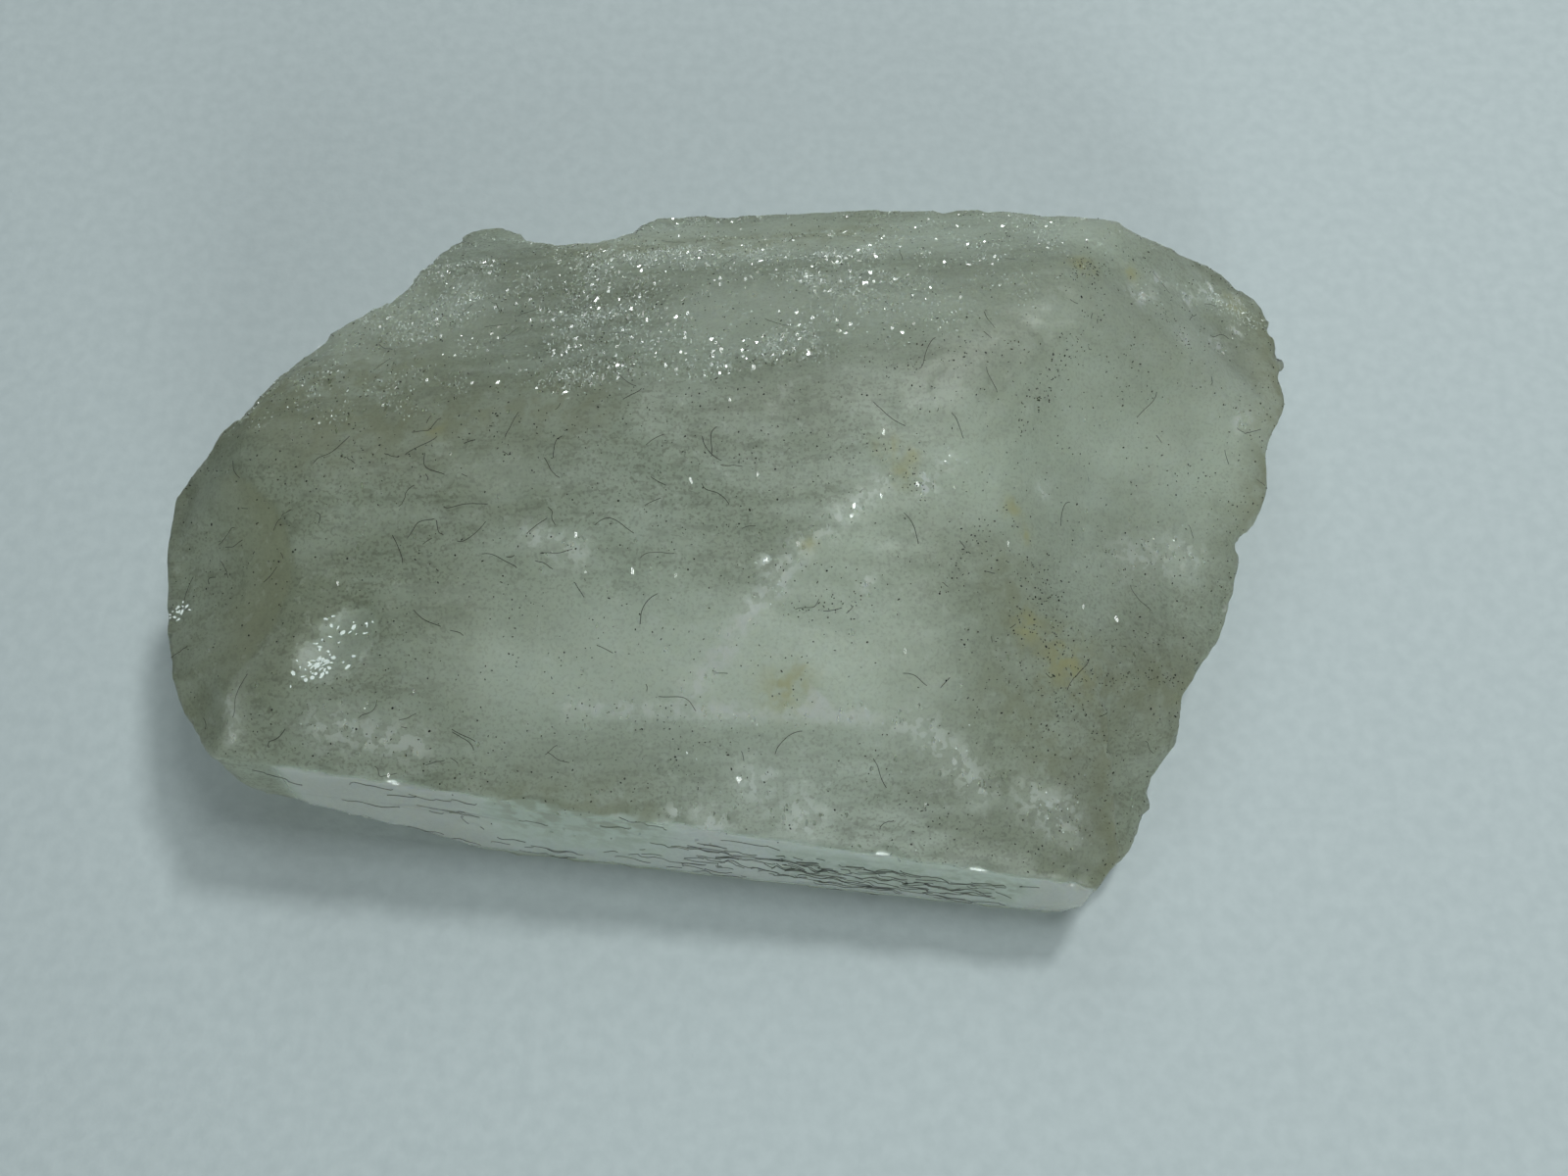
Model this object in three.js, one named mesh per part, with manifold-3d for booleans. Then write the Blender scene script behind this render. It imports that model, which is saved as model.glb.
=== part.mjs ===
// Quartz crystal: one broken piece of a milky prism, lying on its side. Millimetres, +Z up.
// The prism runs along X, its glassy side face looks along -Y, and z = 0 is the flat it rests on.
// The origin is under the middle of the crystal's bounding box.

import * as THREE from 'three';
import { mergeVertices } from 'three/addons/utils/BufferGeometryUtils.js';
import Module from 'manifold-3d';

const wasm = await Module();
wasm.setup();

// Driving dimensions
const blockHeight = 24;         // the uncut block, taller than the highest ridge
const sideFaceLean = 7;         // how far the glassy side face leans back, degrees
const cutterSize = 160;         // edge of the block that cuts a flat face, larger than the crystal

// Outline of the broken block seen from above, anticlockwise from the front right tip.
const outline = [
  [22.6, -27.7], [24, -25.7], [25.9, -24.1], [27.9, -20.8], [28.1, -18.4], [29.8, -16.2], [30, -14.6],
  [29.9, -13.6], [31.3, -11.8], [33.4, -8.9], [34.8, -5.4], [35.4, -2.9], [35.6, -1.1], [36.7, 0.2],
  [37.9, 2.5], [37.9, 5.6], [38.4, 6.7], [39.7, 9], [40.8, 13], [40.8, 16.2], [40.2, 18.6],
  [39.2, 20.1], [35.9, 21.7], [31.2, 21.8], [28.2, 21.9], [26.5, 22.9], [22.6, 24.1], [17.6, 25.9],
  [8.5, 26.5], [2, 26.7], [-5.4, 27.1], [-8.4, 26.5], [-10.4, 24.6], [-12.8, 24.2], [-14.4, 23.8],
  [-18, 25], [-20.6, 26.5], [-22.5, 26.7], [-24, 25.2], [-24.9, 21.6], [-25.8, 18.6], [-27.5, 15.6],
  [-29.8, 13], [-31.8, 10.6], [-34.4, 8], [-35.5, 4], [-37.2, 0.9], [-40, -1.2], [-40.4, -4.7],
  [-40, -8], [-39.2, -11.3], [-38.4, -14.1], [-37.7, -15.7], [-36.6, -17.4], [-35.8, -19],
  [-34.8, -19.9], [-33.6, -20.6], [-31, -21.8],
];

// Flat faces: a point on the face, its dip from level and the compass direction it faces
// (0 = +X, 90 = +Y, 270 = -Y). A dip above 90 is an underside.
const faces = {
  glassySide: { through: [-9.3, -24.3, 0], dip: 90 - sideFaceLean, facing: 263.2 },
  lowerTop: { through: [0, -16.8, 15], dip: 33, facing: 270 },
  broadTop: { through: [0, -16.8, 15], dip: 14.4, facing: 270 },
  brightTop: { through: [-4, -16.8, 15], dip: 16, facing: 277 },
  etchedTop: { through: [-30.3, 0.2, 19.4], dip: 25.3, facing: 101.8 },
  backStrip: { through: [-12.7, 18.6, 12.5], dip: 35.4, facing: 96.3 },
  endFront: { through: [10.2, -16.8, 15], dip: 24, facing: 320 },
  endBack: { through: [20.2, 6.9, 20.6], dip: 33, facing: 19 },
  leftBreak: { through: [-36.3, -15.3, 15.3], dip: 40, facing: 185 },
  leftBack: { through: [-33, 10, 13.5], dip: 50, facing: 140 },
  leftUnderside: { through: [-21, 0, 0], dip: 180 - 26, facing: 185 },
  backUnderside: { through: [0, 13, 0], dip: 180 - 20, facing: 88 },
  rightUnderside: { through: [25, 0, 0], dip: 180 - 26, facing: 350 },
};

// Shell-shaped hollows of broken quartz: the middle of the mouth, the mouth's length, width and
// depth, the compass direction of its length, and the dip and direction that the mouth faces.
const hollows = {
  leftHollow: { at: [-37.9, -9.9, 14.7], length: 14, width: 22, depth: 1.9, along: 95, dip: 24, facing: 188 },
  leftGroove: { at: [-37.9, -17.8, 12.7], length: 9, width: 10, depth: 1.3, along: 100, dip: 32, facing: 194 },
  ovalPit: { at: [-27.3, -12.7, 16], length: 6, width: 3.6, depth: 0.8, along: 41, dip: 16, facing: 300 },
  endHollow: { at: [30.5, -2, 11.2], length: 30, width: 27, depth: 2.4, along: 60, dip: 25, facing: 330 },
  endHollowBack: { at: [35.2, 14.2, 9.9], length: 16, width: 7.6, depth: 0.9, along: 105, dip: 33, facing: 15 },
  sideScarLeft: { at: [-20.5, -22.2, 7], length: 11, width: 2.4, depth: 0.4, along: -12, dip: 83, facing: 263 },
  sideScarRight: { at: [0.5, -25, 5], length: 13, width: 2.2, depth: 0.35, along: 2, dip: 83, facing: 263 },
  backNotch: { at: [-14.2, 24.2, 7.4], length: 8, width: 8, depth: 1.1, along: 0, dip: 75, facing: 92 },
  backShell: { at: [9, 26.4, 4.4], length: 26, width: 8, depth: 1.2, along: 0, dip: 112, facing: 90 },
  leftUnderShell: { at: [-31, -4, 4.9], length: 24, width: 15, depth: 1.8, along: 90, dip: 154, facing: 185 },
  rightUnderShell: { at: [31, 5, 2.9], length: 20, width: 9, depth: 1.2, along: 90, dip: 154, facing: 350 },
};

// Chips: the middle of each, its length and direction, and the dip and direction its mouth faces.
const chips = [
  // along the edge above the glassy side
  { at: [-16.5, -22.3, 11.4], length: 4.4, along: -8, dip: 55, facing: 266 },
  { at: [-4.6, -23.9, 10.3], length: 3, along: -4, dip: 60, facing: 262 },
  { at: [4.2, -25, 9.6], length: 4, along: -10, dip: 55, facing: 268 },
  { at: [13.6, -26.2, 8.8], length: 3.2, along: -7, dip: 58, facing: 262 },
  // on the broken right end
  { at: [27.8, 15.9, 14], length: 4.6, along: 120, dip: 33, facing: 19 },
  { at: [33.2, 17.9, 10.3], length: 5.4, along: 135, dip: 33, facing: 19 },
  { at: [19.4, 2, 17.3], length: 5, along: 70, dip: 24, facing: 320 },
  { at: [19.4, -22.9, 10.1], length: 4, along: 150, dip: 24, facing: 320 },
  // in the middle of the top
  { at: [11.3, -2.6, 18.6], length: 4, along: 100, dip: 16, facing: 277 },
  { at: [0.8, -9.6, 16.9], length: 3.4, along: 40, dip: 14, facing: 270 },
  // along the back left edge
  { at: [-24.6, 15.4, 12.8], length: 4.6, along: 50, dip: 30, facing: 110 },
  { at: [-31.6, 9.6, 14.6], length: 5, along: 45, dip: 36, facing: 125 },
];
const chipWidth = 0.7;          // of a chip's length
const chipDepth = 0.09;         // of a chip's length
const chipSides = 7;

// Etched pits, strewn over part of the face behind the ridge.
const pitCount = 40;
const pitSeed = 11;
const pitField = { from: [-27, 8], size: [42, 10] };   // seen from above
const pitLength = { shortest: 1.2, longest: 3 };
const halfTurn = 180;           // degrees

// Growth lines along the prism on the broad top: V-shaped, as far apart as lineStep.
const lineCount = 5;
const lineStart = [-13, -14.6]; // middle of the first line, seen from above
const lineStep = [1.6, 1.15];
const lineLength = 17;
const lineDepth = 0.16;

// Small crystals sunk in the top: the middle of each, its width, length and direction.
const crystalSides = 6;
const smallCrystals = [
  { at: [1.2, -8.2, 16.6], width: 1.8, length: 3.4, along: 62 },
  { at: [2.6, -9.6, 16.3], width: 1.5, length: 2.6, along: 118 },
  { at: [3.9, -6.6, 16.9], width: 2.2, length: 3, along: 20 },
  { at: [21.2, -21.4, 9.3], width: 1.8, length: 3, along: 35 },
];

// The low ledge at the front right, where a splinter has come away: its inner back corner, its
// size, its turn from the crystal's length, its dip to the right and how far its back wall leans.
const ledge = { corner: [23.4, -20, 4.8], width: 14, length: 18, height: 14, turn: 8, dip: 12, wallLean: 50 };

// Shape of the shell cutters
const mouthShare = 0.8;         // mouth radius as a share of the ball's
const rippleHeight = 0.012;     // ripples of the hollow's floor, as a share of the ball's radius
const ripples = 7;              // rings from the floor's middle to the far side
const shellSides = 26;
const weldDistance = 1e-4;      // vertices nearer than this are one

// A closed geometry as a solid that can be joined and cut. Triangles with no area are left out.
function solidOf(geometry) {
  const bare = geometry.clone();
  bare.deleteAttribute('normal');
  bare.deleteAttribute('uv');
  const merged = mergeVertices(bare, weldDistance);
  const corners = merged.index.array;
  const kept = [];
  for (let i = 0; i < corners.length; i += 3) {
    const [a, b, c] = corners.slice(i, i + 3);
    if (a !== b && b !== c && c !== a) {
      kept.push(a, b, c);
    }
  }
  const vertProperties = new Float32Array(merged.attributes.position.array);
  return new wasm.Manifold(new wasm.Mesh({ numProp: 3, vertProperties, triVerts: new Uint32Array(kept) }));
}

// The solid's triangles as a geometry with flat facets.
function geometryOf(solid) {
  const mesh = solid.getMesh();
  const geometry = new THREE.BufferGeometry();
  geometry.setAttribute('position', new THREE.BufferAttribute(mesh.vertProperties, 3));
  geometry.setIndex(new THREE.BufferAttribute(mesh.triVerts, 1));
  const faceted = geometry.toNonIndexed();
  faceted.computeVertexNormals();
  return faceted;
}

// The outward direction of a face with this dip and compass direction.
function faceNormal(dip, facing) {
  const polar = THREE.MathUtils.degToRad(dip);
  const compass = THREE.MathUtils.degToRad(facing);
  const level = Math.sin(polar);
  return new THREE.Vector3(level * Math.cos(compass), level * Math.sin(compass), Math.cos(polar));
}

// Turns a geometry's own +Z to the direction given and moves its origin to the point given.
function setOn(geometry, point, direction) {
  const turn = new THREE.Quaternion().setFromUnitVectors(new THREE.Vector3(0, 0, 1), direction);
  return geometry.applyQuaternion(turn).translate(...point);
}

// Everything on the outer side of a flat face.
function beyondFace({ through, dip, facing }) {
  const block = new THREE.BoxGeometry(cutterSize, cutterSize, cutterSize).translate(0, 0, cutterSize / 2);
  return solidOf(setOn(block, through, faceNormal(dip, facing)));
}

// A rippled ball, flattened so that it leaves a hollow with the mouth and depth given.
function shellCutter({ at, length, width, depth, along, dip, facing, sides = shellSides }) {
  const profile = [];
  for (let ring = 0; ring <= sides; ring += 1) {
    const polar = (Math.PI * ring) / sides;
    const reach = 1 + rippleHeight * Math.cos(2 * ripples * polar);
    const radius = ring === 0 || ring === sides ? 0 : reach * Math.sin(polar);
    profile.push(new THREE.Vector2(radius, -reach * Math.cos(polar)));
  }
  const ball = new THREE.LatheGeometry(profile, sides).rotateX(Math.PI / 2);
  const floorShare = 1 - Math.sqrt(1 - mouthShare ** 2);
  const halfHeight = depth / floorShare;
  ball.scale(length / 2 / mouthShare, width / 2 / mouthShare, halfHeight);
  ball.translate(0, 0, halfHeight - depth);
  ball.rotateZ(THREE.MathUtils.degToRad(along));
  return solidOf(setOn(ball, at, faceNormal(dip, facing)));
}

// A small chip: a shell with few sides.
function chipCutter({ at, length, along, dip, facing }) {
  const width = chipWidth * length;
  return shellCutter({ at, length, width, depth: chipDepth * length, along, dip, facing, sides: chipSides });
}

// The ledge's cutter: its side profile lies in YZ and is extruded along X.
function ledgeCutter() {
  const { corner, width, length, height } = ledge;
  const wallReach = height * Math.tan(THREE.MathUtils.degToRad(ledge.wallLean));
  const profile = [[0, 0], [wallReach, height], [-length, height], [-length, 0]];
  const side = new THREE.Shape(profile.map(([y, z]) => new THREE.Vector2(y, z)));
  const prism = new THREE.ExtrudeGeometry(side, { depth: width, bevelEnabled: false });
  prism.rotateX(Math.PI / 2).rotateZ(Math.PI / 2);
  prism.rotateY(THREE.MathUtils.degToRad(ledge.dip)).rotateZ(THREE.MathUtils.degToRad(ledge.turn));
  return solidOf(prism.translate(...corner));
}

// The height of a flat face above a point seen from above.
function heightOn({ through, dip, facing }, x, y) {
  const normal = faceNormal(dip, facing);
  return through[2] - (normal.x * (x - through[0]) + normal.y * (y - through[1])) / normal.z;
}

// One pit in each strip of the field, at a random place, length and direction.
function etchedPits() {
  const { dip, facing } = faces.etchedTop;
  const random = THREE.MathUtils.seededRandom;
  const cutters = [];
  random(pitSeed);
  for (let pit = 0; pit < pitCount; pit += 1) {
    const x = pitField.from[0] + pitField.size[0] * (pit + random()) / pitCount;
    const y = pitField.from[1] + pitField.size[1] * random();
    const length = THREE.MathUtils.lerp(pitLength.shortest, pitLength.longest, random());
    const at = [x, y, heightOn(faces.etchedTop, x, y)];
    cutters.push(chipCutter({ at, length, along: halfTurn * random(), dip, facing }));
  }
  return cutters;
}

function growthLines() {
  const { dip, facing } = faces.broadTop;
  const side = lineDepth * Math.SQRT2;
  const cutters = [];
  for (let line = 0; line < lineCount; line += 1) {
    const x = lineStart[0] + line * lineStep[0];
    const y = lineStart[1] + line * lineStep[1];
    const bar = new THREE.BoxGeometry(lineLength, side, side).rotateX(Math.PI / 4);
    cutters.push(solidOf(setOn(bar, [x, y, heightOn(faces.broadTop, x, y)], faceNormal(dip, facing))));
  }
  return cutters;
}

// A six-sided crystal with a point at both ends, lying in the surface.
function smallCrystal({ at, width, length, along }) {
  const radius = width / 2;
  const middle = length / 2 - radius;
  const profile = [[0, -length / 2], [radius, -middle], [radius, middle], [0, length / 2]];
  const crystal = new THREE.LatheGeometry(profile.map(([x, y]) => new THREE.Vector2(x, y)), crystalSides);
  crystal.rotateZ(THREE.MathUtils.degToRad(along - 90));
  return solidOf(crystal.translate(...at));
}

// The block that the crystal is cut from.
function roughBlock() {
  const shape = new THREE.Shape(outline.map(([x, y]) => new THREE.Vector2(x, y)));
  const bar = new THREE.ExtrudeGeometry(shape, { depth: blockHeight, bevelEnabled: false });
  return solidOf(bar);
}

function quartzCrystal() {
  const cutters = [
    ...Object.values(faces).map(beyondFace),
    ...Object.values(hollows).map(shellCutter),
    ...chips.map(chipCutter),
    ...etchedPits(),
    ...growthLines(),
    ledgeCutter(),
  ];
  const broken = cutters.reduce((crystal, cutter) => crystal.subtract(cutter), roughBlock());
  return smallCrystals.map(smallCrystal).reduce((crystal, growth) => crystal.add(growth), broken);
}

const milkyQuartz = new THREE.MeshStandardMaterial({ color: 0xa9ab98, roughness: 0.25, metalness: 0 });

// Moves a geometry so that the origin is under the middle of its bounding box.
function centred(geometry) {
  geometry.computeBoundingBox();
  const { min, max } = geometry.boundingBox;
  return geometry.translate(-(min.x + max.x) / 2, -(min.y + max.y) / 2, -min.z);
}

const model = new THREE.Group();
const crystalMesh = new THREE.Mesh(centred(geometryOf(quartzCrystal())), milkyQuartz);
crystalMesh.name = 'quartz_crystal';
model.add(crystalMesh);

export default model;
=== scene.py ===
import math
import bmesh
import bpy
import numpy as np
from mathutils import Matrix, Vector, noise
from types import SimpleNamespace


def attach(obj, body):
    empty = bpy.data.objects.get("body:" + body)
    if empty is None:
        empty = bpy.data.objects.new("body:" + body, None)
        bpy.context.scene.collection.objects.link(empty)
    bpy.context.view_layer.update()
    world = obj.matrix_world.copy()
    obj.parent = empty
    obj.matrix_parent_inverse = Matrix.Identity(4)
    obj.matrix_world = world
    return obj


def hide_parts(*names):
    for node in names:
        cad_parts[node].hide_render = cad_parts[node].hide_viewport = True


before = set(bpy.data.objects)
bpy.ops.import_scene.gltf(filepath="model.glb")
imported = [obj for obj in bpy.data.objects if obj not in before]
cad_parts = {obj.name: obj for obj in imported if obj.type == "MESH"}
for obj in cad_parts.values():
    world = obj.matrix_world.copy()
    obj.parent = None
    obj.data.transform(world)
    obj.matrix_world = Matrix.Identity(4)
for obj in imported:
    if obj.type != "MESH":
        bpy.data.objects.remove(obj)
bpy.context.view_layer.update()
scene = bpy.context.scene
mm = 0.001
bumpReach = 0.0001    # in metres, how deep a bump is read
seedStep = 7.31       # how far apart two seeds of the noise lie
tiltStep = 5.3        # spreads the facets in the noise, so that neighbours tilt their own ways
noise.seed_set(7)     # without it, noise_vector is different in every run

# shapes are worked out in millimetres on numpy arrays and written back in metres


def smoothStep(values, low, high):
    share = np.clip((values - low) / (high - low), 0, 1)
    return share * share * (3 - 2 * share)


def nearLine(points, line, width):
    # 1 on the line, fading to 0 past the width
    nearest = np.full(len(points), np.inf)
    for start, end in zip(line, line[1:]):
        start, along = np.array(start, float), np.array(end, float) - start
        share = np.clip((points - start) @ along / (along @ along), 0, 1)
        nearest = np.minimum(nearest, np.linalg.norm(points - start - share[:, None] * along, axis=1))
    return np.exp(-((nearest / width) ** 2))


def nearSpot(points, centre, reach):
    # 1 at the centre, fading to 0 past the reach, which may differ by axis
    return np.exp(-(((points - centre) / reach) ** 2).sum(1))


def stretchMask(points, places, heightShare=0.3):
    # 1 on any of the lines or spots, fading out with their widths, with heights counting for less
    mask = np.zeros(len(points))
    squash = np.array([1, 1, heightShare])
    for line, width in places:
        line = np.array(line, float) * squash
        if len(line) > 1:
            near = nearLine(points * squash, line, width)
        else:
            near = nearSpot(points * squash, line[0], width)
        mask = np.maximum(mask, near)
    return mask


def pastLine(flat, line):
    # seen from above, how far each point is to the right of someone who goes along the line, or
    # minus how far it is to the left
    nearest, signed = np.full(len(flat), np.inf), np.zeros(len(flat))
    corners = np.array(line, float)
    for start, end in zip(corners[:-1], corners[1:]):
        along = end - start
        share = np.clip((flat - start) @ along / (along @ along), 0, 1)
        gap = flat - start - share[:, None] * along
        distance = np.linalg.norm(gap, axis=1)
        side = np.sign((flat - start) @ np.array([along[1], -along[0]]))
        closer = distance < nearest
        nearest[closer] = distance[closer]
        signed[closer] = (side * distance)[closer]
    return signed


def ovalAxes(oval):
    # the long and short axes of an oval seen from above, each divided by its half length
    turn = math.radians(oval["turn"])
    along, across = np.array([math.cos(turn), math.sin(turn)]), np.array([-math.sin(turn), math.cos(turn)])
    return along / oval["halfLength"], across / oval["halfWidth"]


def insideOval(flat, oval):
    # 1 inside an oval seen from above, fading out over its rim
    total = sum(((flat - oval["centre"]) @ axis) ** 2 for axis in ovalAxes(oval))
    return 1 - smoothStep(total, *oval["softRim"])


def wobble(points, size, seed, octaves=1):
    # smooth noise from about -1 to 1, with bumps of the size given by axis
    scaled = points / size + seed * seedStep
    return np.array([noise.fractal(p, 1.0, 2.0, octaves) for p in scaled])


def facetHeight(points, size, seed):
    # small flat facets, each tilted its own way, in units of their size
    heights = np.zeros(len(points))
    for i, p in enumerate(points / size + seed * seedStep):
        centre = noise.voronoi(p)[1][0]
        tilt = noise.noise_vector(centre * tiltStep)
        heights[i] = (Vector(p) - centre).dot(tilt)
    return heights


def readPoints(mesh):
    points = np.empty(len(mesh.vertices) * 3)
    mesh.vertices.foreach_get("co", points)
    return points.reshape(-1, 3) / mm


def writePoints(mesh, points):
    mesh.vertices.foreach_set("co", (points * mm).ravel())
    mesh.update()


def readNormals(mesh):
    normals = np.empty(len(mesh.vertices) * 3, np.float32)
    mesh.vertex_normals.foreach_get("vector", normals)
    return normals.reshape(-1, 3).astype(float)


def readEdges(mesh):
    edges = np.empty(len(mesh.edges) * 2, np.int32)
    mesh.edges.foreach_get("vertices", edges)
    return edges.reshape(-1, 2)


def relax(points, edges, rounds, weight, across=1.0):
    # each point moves towards the mean of its neighbours, sideways only by the share given
    step = 0.5 * weight[:, None] * np.array([across, across, 1.0])
    first, second = edges.T
    count = np.bincount(edges.ravel(), minlength=len(points))[:, None]
    for _ in range(rounds):
        mean = np.empty_like(points)
        for axis in range(3):
            values = points[:, axis]
            mean[:, axis] = np.bincount(first, values[second], len(points))
            mean[:, axis] += np.bincount(second, values[first], len(points))
        points = points + step * (mean / count - points)
    return points


def storeMask(mesh, name, values):
    mask = mesh.attributes.new(name, "FLOAT", "POINT")
    mask.data.foreach_set("value", np.clip(values, 0, 1).astype(np.float32))


def addNode(tree, kind, **settings):
    node = tree.nodes.new(kind)
    for name, value in settings.items():
        setattr(node, name, value)
    return node


def wire(tree, target, source):
    # source is a socket, or a plain value for the target
    if isinstance(source, bpy.types.NodeSocket):
        tree.links.new(source, target)
    else:
        target.default_value = source


def mathNode(tree, operation, first, second):
    node = addNode(tree, "ShaderNodeMath", operation=operation)
    wire(tree, node.inputs[0], first)
    wire(tree, node.inputs[1], second)
    return node.outputs[0]


def times(tree, first, second):
    return mathNode(tree, "MULTIPLY", first, second)


def vectorNode(tree, operation, first, second=None):
    node = addNode(tree, "ShaderNodeVectorMath", operation=operation)
    wire(tree, node.inputs[0], first)
    if second is not None:
        wire(tree, node.inputs["Scale" if operation == "SCALE" else 1], second)
    return node.outputs["Value" if operation == "DOT_PRODUCT" else "Vector"]


def mixNode(tree, kind, share, first, second, **settings):
    node = addNode(tree, "ShaderNodeMix", data_type=kind, **settings)
    wire(tree, node.inputs["Factor"], share)
    wire(tree, node.inputs["A"], first)
    wire(tree, node.inputs["B"], second)
    return node.outputs["Result"]


def mixColour(tree, share, first, second):
    return mixNode(tree, "RGBA", share, first, second)


def rangeNode(tree, value, low, high, atLow=0.0, atHigh=1.0):
    # runs smoothly from one value to the other as the first goes from low to high
    node = addNode(tree, "ShaderNodeMapRange", interpolation_type="SMOOTHSTEP")
    for name, setting in zip(("Value", "From Min", "From Max", "To Min", "To Max"),
                             (value, low, high, atLow, atHigh)):
        wire(tree, node.inputs[name], setting)
    return node.outputs["Result"]


def bumpNode(tree, height, strength):
    node = addNode(tree, "ShaderNodeBump")
    wire(tree, node.inputs["Height"], height)
    wire(tree, node.inputs["Strength"], strength)
    wire(tree, node.inputs["Distance"], bumpReach)
    return node.outputs["Normal"]


def objectPlace(tree):
    return addNode(tree, "ShaderNodeTexCoord").outputs["Object"]


def maskNode(tree, name):
    return addNode(tree, "ShaderNodeAttribute", attribute_name=name).outputs["Fac"]


def newGroup(name, inputs, outputs):
    tree = bpy.data.node_groups.new(name, "ShaderNodeTree")
    for label, kind, value in inputs:
        socket = tree.interface.new_socket(label, in_out="INPUT", socket_type=kind)
        if value is not None:
            socket.default_value = value
    for label, kind in outputs:
        tree.interface.new_socket(label, in_out="OUTPUT", socket_type=kind)
    return tree, addNode(tree, "NodeGroupInput").outputs, addNode(tree, "NodeGroupOutput").inputs


def useGroup(tree, group, **values):
    node = addNode(tree, "ShaderNodeGroup", node_tree=group)
    for name, value in values.items():
        wire(tree, node.inputs[name], value)
    return node.outputs


def newMaterial(name):
    material = bpy.data.materials.new(name)
    material.use_nodes = True
    tree = material.node_tree
    tree.nodes.clear()
    output = addNode(tree, "ShaderNodeOutputMaterial")
    shader = addNode(tree, "ShaderNodeBsdfPrincipled")
    tree.links.new(shader.outputs["BSDF"], output.inputs["Surface"])
    return material, tree, shader.inputs, output


def makeMottle():
    # soft patches, 0 to 1: noise with a chosen size by axis and a chosen contrast
    tree, given, out = newGroup(
        "mottle",
        [("Vector", "NodeSocketVector", None), ("Stretch", "NodeSocketVector", (1, 1, 1)),
         ("Scale", "NodeSocketFloat", 100.0), ("Detail", "NodeSocketFloat", 3.0),
         ("Low", "NodeSocketFloat", 0.35), ("High", "NodeSocketFloat", 0.65)],
        [("Mask", "NodeSocketFloat"), ("Noise", "NodeSocketFloat")])
    patches = addNode(tree, "ShaderNodeTexNoise")
    tree.links.new(vectorNode(tree, "MULTIPLY", given["Vector"], given["Stretch"]), patches.inputs["Vector"])
    tree.links.new(given["Scale"], patches.inputs["Scale"])
    tree.links.new(given["Detail"], patches.inputs["Detail"])
    tree.links.new(rangeNode(tree, patches.outputs["Fac"], given["Low"], given["High"]), out["Mask"])
    tree.links.new(patches.outputs["Fac"], out["Noise"])
    return tree


def makeFacets():
    # tiny flat facets: in each cell the normal is tilted its own way, and a share of the cells are
    # nearly parallel to one direction, as the etch facets of a single crystal are
    tree, given, out = newGroup(
        "facets",
        [("Vector", "NodeSocketVector", None), ("Normal", "NodeSocketVector", None),
         ("Stretch", "NodeSocketVector", (1, 1, 1)), ("Scale", "NodeSocketFloat", 2000.0),
         ("Tilt", "NodeSocketFloat", 0.5), ("Facing", "NodeSocketVector", (0, 0, 1)),
         ("Jitter", "NodeSocketFloat", 0.2), ("Share", "NodeSocketFloat", 0.2)],
        [("Normal", "NodeSocketVector"), ("Parallel", "NodeSocketFloat")])

    cells = addNode(tree, "ShaderNodeTexVoronoi")
    tree.links.new(vectorNode(tree, "MULTIPLY", given["Vector"], given["Stretch"]), cells.inputs["Vector"])
    tree.links.new(given["Scale"], cells.inputs["Scale"])
    randomTilt = vectorNode(tree, "SUBTRACT", cells.outputs["Color"], (0.5, 0.5, 0.5))
    loose = vectorNode(tree, "ADD", given["Normal"], vectorNode(tree, "SCALE", randomTilt, given["Tilt"]))
    aligned = vectorNode(tree, "ADD", given["Facing"], vectorNode(tree, "SCALE", randomTilt, given["Jitter"]))
    pick = addNode(tree, "ShaderNodeTexWhiteNoise")
    tree.links.new(cells.outputs["Color"], pick.inputs["Vector"])
    parallel = mathNode(tree, "LESS_THAN", pick.outputs["Value"], given["Share"])
    chosen = mixNode(tree, "VECTOR", parallel, loose, aligned)
    tree.links.new(vectorNode(tree, "NORMALIZE", chosen), out["Normal"])
    tree.links.new(parallel, out["Parallel"])
    return tree


def outlineNode(tree, place, outline, fade):
    # 1 inside a convex outline seen from above, in millimetres, fading out over its edge
    past = -1.0    # further inside than any point can be
    corners = np.array(outline, float) * mm
    for start, end in zip(corners, np.roll(corners, -1, axis=0)):
        along = end - start
        outward = np.array([along[1], -along[0]]) / np.linalg.norm(along)
        if (corners.mean(0) - start) @ outward > 0:
            outward = -outward
        reach = vectorNode(tree, "DOT_PRODUCT", place, (outward[0], outward[1], 0))
        past = mathNode(tree, "MAXIMUM", mathNode(tree, "SUBTRACT", reach, start @ outward), past)
    return rangeNode(tree, past, -fade * mm, fade * mm, 1.0, 0.0)


def ovalNode(tree, place, oval):
    # insideOval for a material, with a crisper rim
    total = 0.0
    for axis in ovalAxes(oval):
        share = vectorNode(tree, "DOT_PRODUCT", place, (axis[0] / mm, axis[1] / mm, 0))
        share = mathNode(tree, "SUBTRACT", share, axis @ np.array(oval["centre"]))
        total = mathNode(tree, "ADD", times(tree, share, share), total)
    low, high = oval["crispRim"]
    return rangeNode(tree, total, low, high, 1.0, 0.0)


mottle = makeMottle()
facets = makeFacets()


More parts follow.
